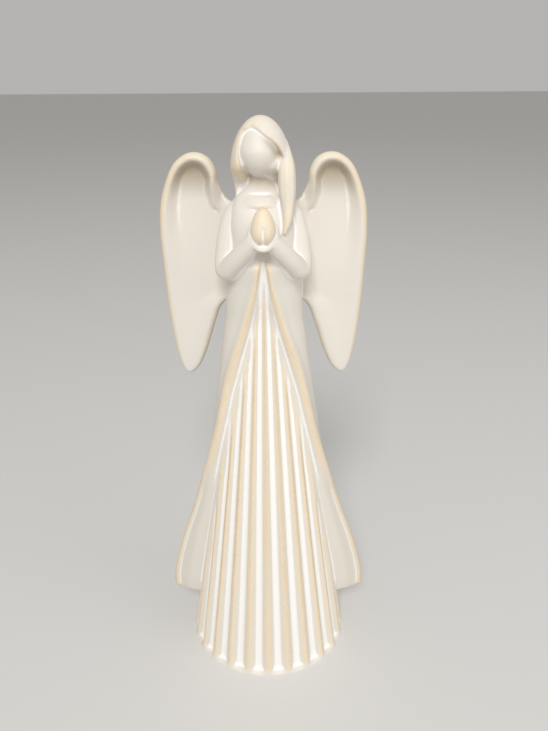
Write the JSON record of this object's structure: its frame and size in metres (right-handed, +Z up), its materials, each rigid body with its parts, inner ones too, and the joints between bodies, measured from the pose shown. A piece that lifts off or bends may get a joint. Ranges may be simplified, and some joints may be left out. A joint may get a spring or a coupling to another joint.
{
  "type": "praying angel figurine",
  "caption": "Glazed ceramic figurine of a faceless praying angel with tall wings, a pleated gown and an open mantle, standing on its foot.",
  "frame": {"origin": "centre of the flat foot, at the level the figurine stands on", "axes": "+Z up through the head, -Y the way the figure faces, +X towards the figure's left hand"},
  "size_m": [0.1147, 0.0752, 0.2997],
  "materials": {
    "cream_glaze": "satin ceramic glaze, white where it pools in hollows and tan where it breaks over edges"
  },
  "bodies": {
    "root": {"angel_figurine": "cream_glaze"}
  },
  "joints": []
}
